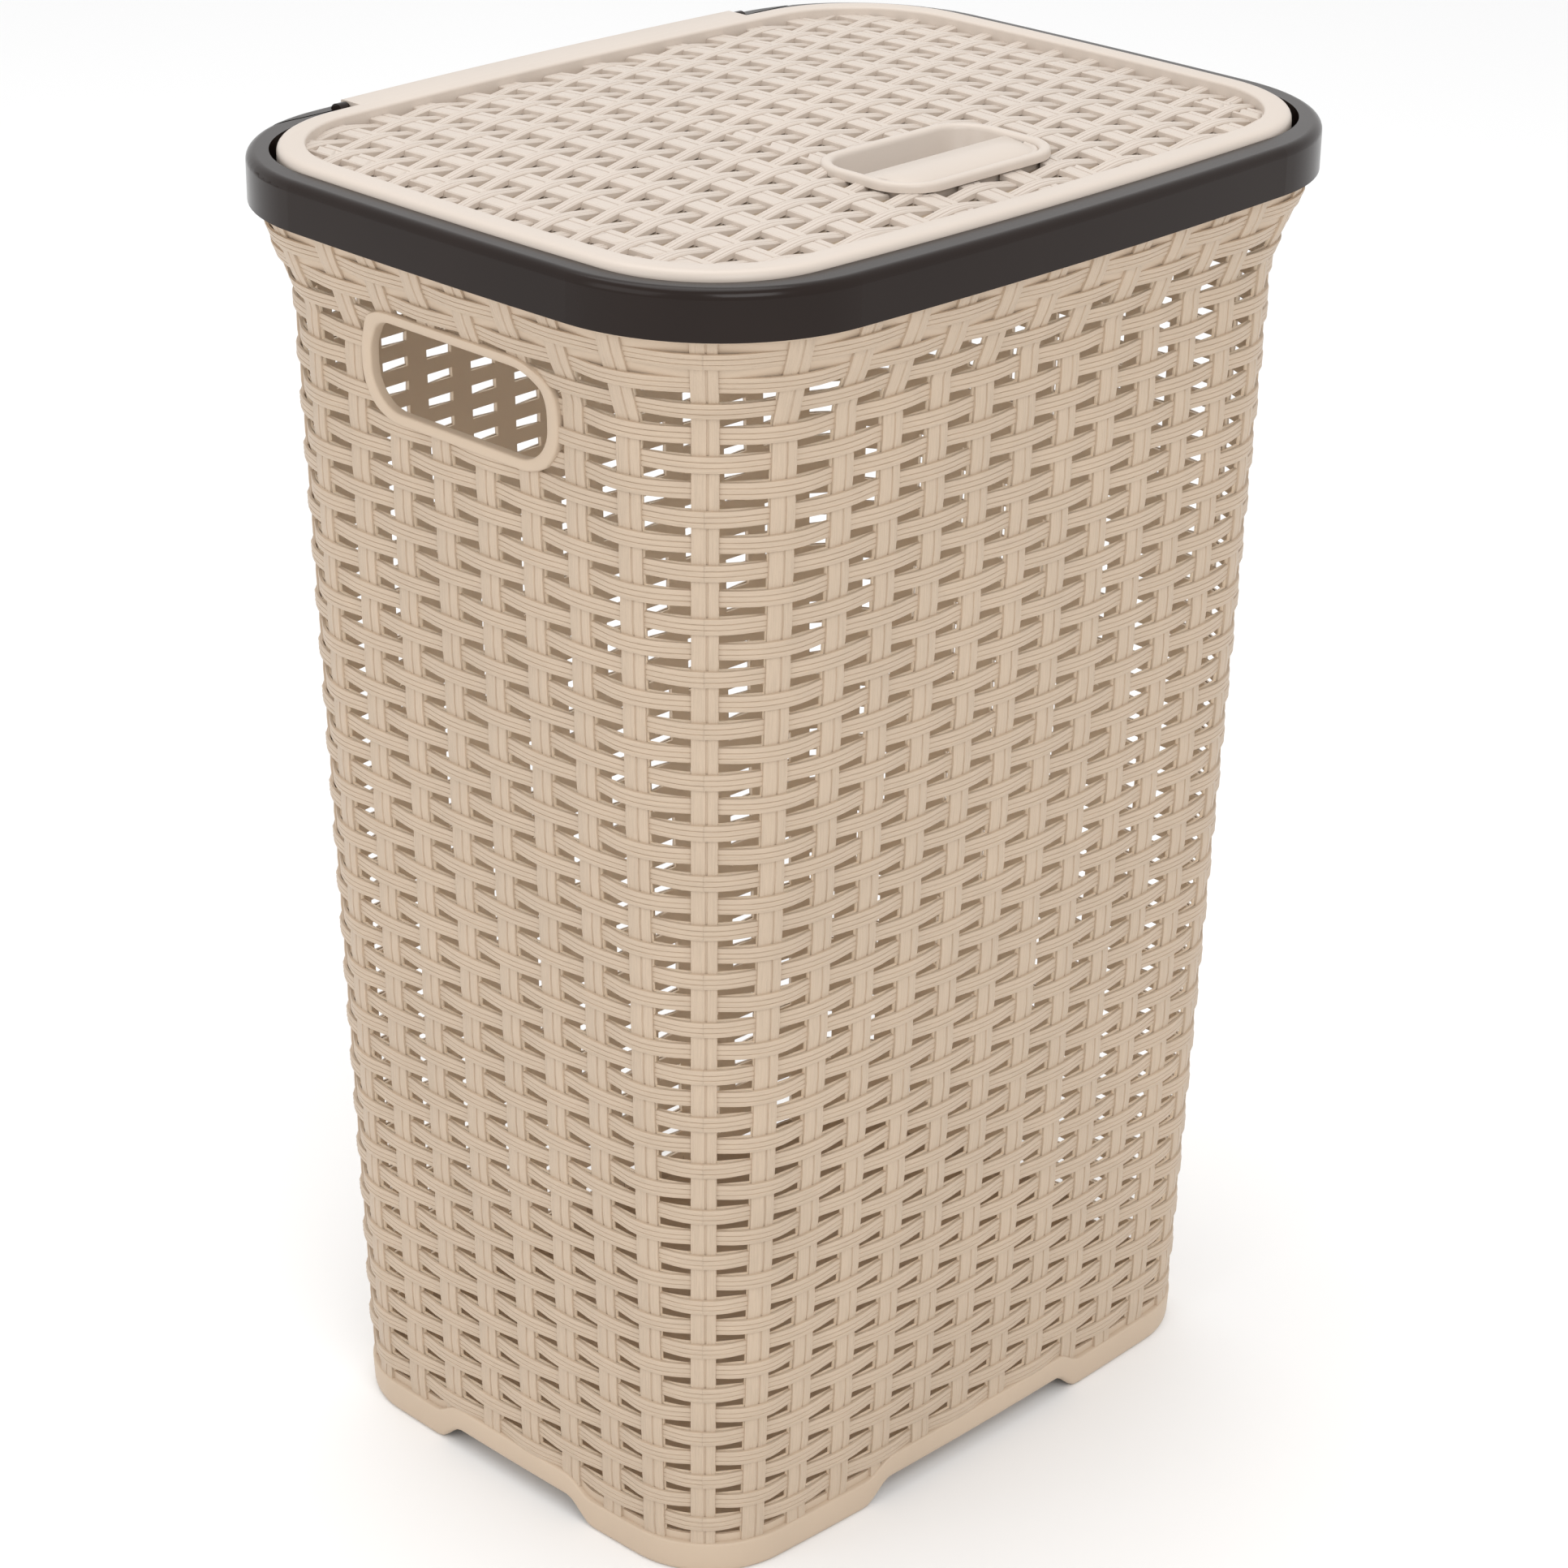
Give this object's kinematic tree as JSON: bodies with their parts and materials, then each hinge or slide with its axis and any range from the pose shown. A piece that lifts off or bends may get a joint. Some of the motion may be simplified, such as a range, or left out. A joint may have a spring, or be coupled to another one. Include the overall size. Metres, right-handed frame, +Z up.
{
  "type": "laundry hamper with hinged lid",
  "caption": "Tapered rattan-look plastic laundry hamper with a dark rim ring, hand holes and a hinged lid with a finger cup.",
  "frame": {"origin": "centre of the bounding box, at the level the feet stand on", "axes": "+X along the long side to the right, +Y from the front, where the finger cup is, to the back, where the hinge is, +Z up"},
  "size_m": [0.4148, 0.3296, 0.604],
  "materials": {
    "basket_cream": "matte moulded weave texture",
    "lid_cream": "matte moulded weave texture, smooth border",
    "rim_brown": "semi-gloss",
    "pin_brown": "semi-gloss"
  },
  "bodies": {
    "hamper": {"basket_body": "basket_cream", "rim_ring": "rim_brown", "hinge_pin_left": "pin_brown", "hinge_pin_right": "pin_brown"},
    "lid": {"lid": "lid_cream", "grip_cup": "lid_cream"}
  },
  "joints": [
    {"name": "lid_hinge", "type": "hinge", "parent": "hamper", "child": "lid", "pos_m": [0, 0.1528, 0.5956], "axis": [-1, 0, 0], "range_deg": [0, 105]}
  ]
}
